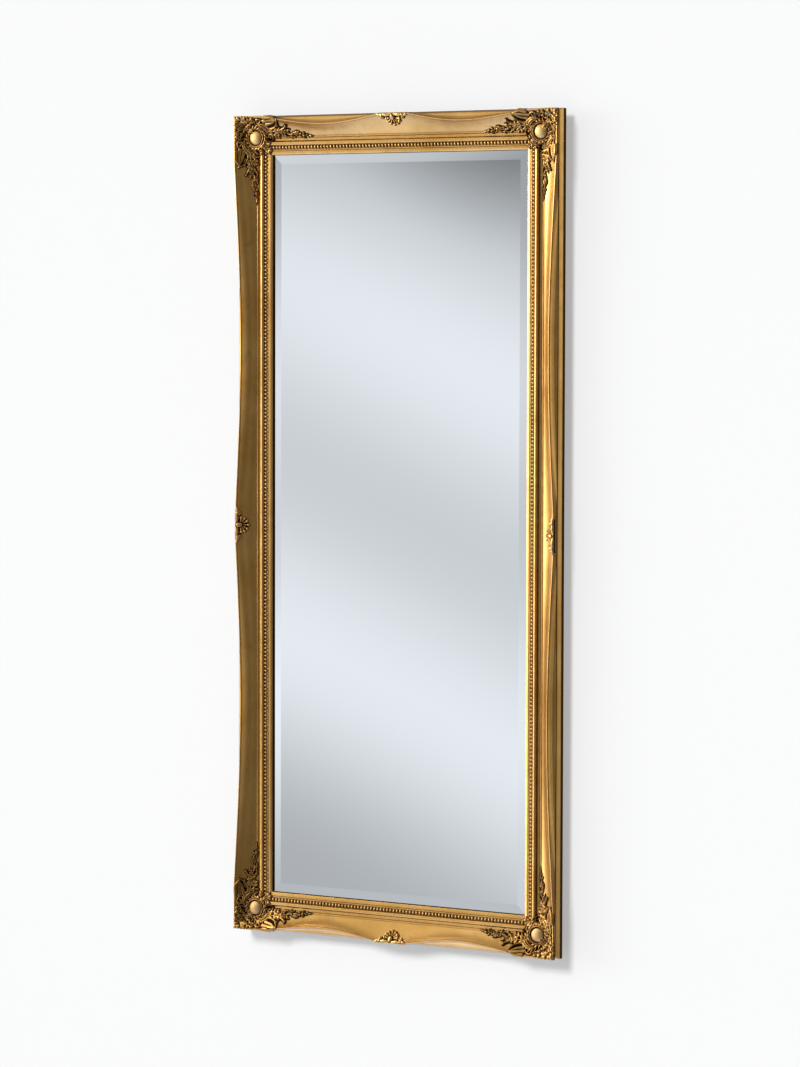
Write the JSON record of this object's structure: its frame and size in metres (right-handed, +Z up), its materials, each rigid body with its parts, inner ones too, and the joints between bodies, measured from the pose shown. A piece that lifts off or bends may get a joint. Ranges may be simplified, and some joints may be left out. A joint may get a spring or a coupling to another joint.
{
  "type": "full-length mirror",
  "caption": "Tall bevelled mirror in an ornate antique-gold swept frame with corner cartouches, hanging rings and a fold-out easel leg on the back.",
  "frame": {"origin": "middle of the bottom rail's flat underside, which the mirror stands on", "axes": "+X to the viewer's right, +Y from the mirror towards the wall, +Z up; the glass faces -Y"},
  "size_m": [0.762, 0.0626, 1.676],
  "materials": {
    "gilt_moulding": "antique gold gilding over gesso, rubbed, with dark wax in the hollows",
    "gilt_beading": "antique gold gilding, dark between the pearls",
    "gilt_casting": "cast composition, pale antique gold on the high points and dark in the recesses",
    "mirror_plate": "silvered float glass with a polished bevel",
    "black_foam": "matt black foam tape",
    "rubber": "matt black rubber",
    "card": "plain grey-brown board",
    "hardboard": "brown hardboard, faint pressed texture",
    "stained_wood": "dark stained pine, satin",
    "zinc_steel": "bright zinc plate",
    "nickel_steel": "nickel plate",
    "brassed_steel": "brass-plated steel",
    "felt": "dark wool felt"
  },
  "bodies": {
    "frame": {"rail_top": "gilt_moulding", "rail_bottom": "gilt_moulding", "rail_left": "gilt_moulding", "rail_right": "gilt_moulding", "bead_top": "gilt_beading", "crest_top": "gilt_casting", "bead_bottom": "gilt_beading", "crest_bottom": "gilt_casting", "bead_left": "gilt_beading", "crest_left": "gilt_casting", "bead_right": "gilt_beading", "crest_right": "gilt_casting", "cartouche_top_left": "gilt_casting", "sprigs_top_left": "gilt_casting", "cartouche_top_right": "gilt_casting", "sprigs_top_right": "gilt_casting", "cartouche_bottom_left": "gilt_casting", "sprigs_bottom_left": "gilt_casting", "cartouche_bottom_right": "gilt_casting", "sprigs_bottom_right": "gilt_casting", "mirror_plate": "mirror_plate", "glazing_tape": "black_foam", "setting_blocks": "rubber", "packing_sheet": "card", "back_board": "hardboard", "mitre_nails": "zinc_steel", "board_screws": "zinc_steel", "cross_batten": "stained_wood", "batten_screws": "zinc_steel", "wall_pads": "felt", "hinge_fixed_leaf": "brassed_steel", "hinge_pin": "brassed_steel", "hinge_batten_screws": "brassed_steel", "hanger_strap_left": "nickel_steel", "hanger_strap_right": "nickel_steel", "hanger_screws": "nickel_steel"},
    "leg": {"easel_leg": "stained_wood", "hinge_leg_leaf": "brassed_steel", "hinge_leg_screws": "brassed_steel", "leg_foot": "rubber", "leg_foot_pins": "zinc_steel", "leg_wall_pad": "felt"},
    "ring_left": {"hanging_ring_left": "nickel_steel"},
    "ring_right": {"hanging_ring_right": "nickel_steel"}
  },
  "joints": [
    {"name": "leg_hinge", "type": "hinge", "parent": "frame", "child": "leg", "pos_m": [0, 0.0149, 1.116], "axis": [1, 0, 0], "range_deg": [0, 15]},
    {"name": "ring_left_swing", "type": "hinge", "parent": "frame", "child": "ring_left", "pos_m": [-0.345, 0.0145, 1.34], "axis": [1, 0, 0], "range_deg": [0, 178]},
    {"name": "ring_right_swing", "type": "hinge", "parent": "frame", "child": "ring_right", "pos_m": [0.345, 0.0145, 1.34], "axis": [1, 0, 0], "range_deg": [0, 178]}
  ]
}
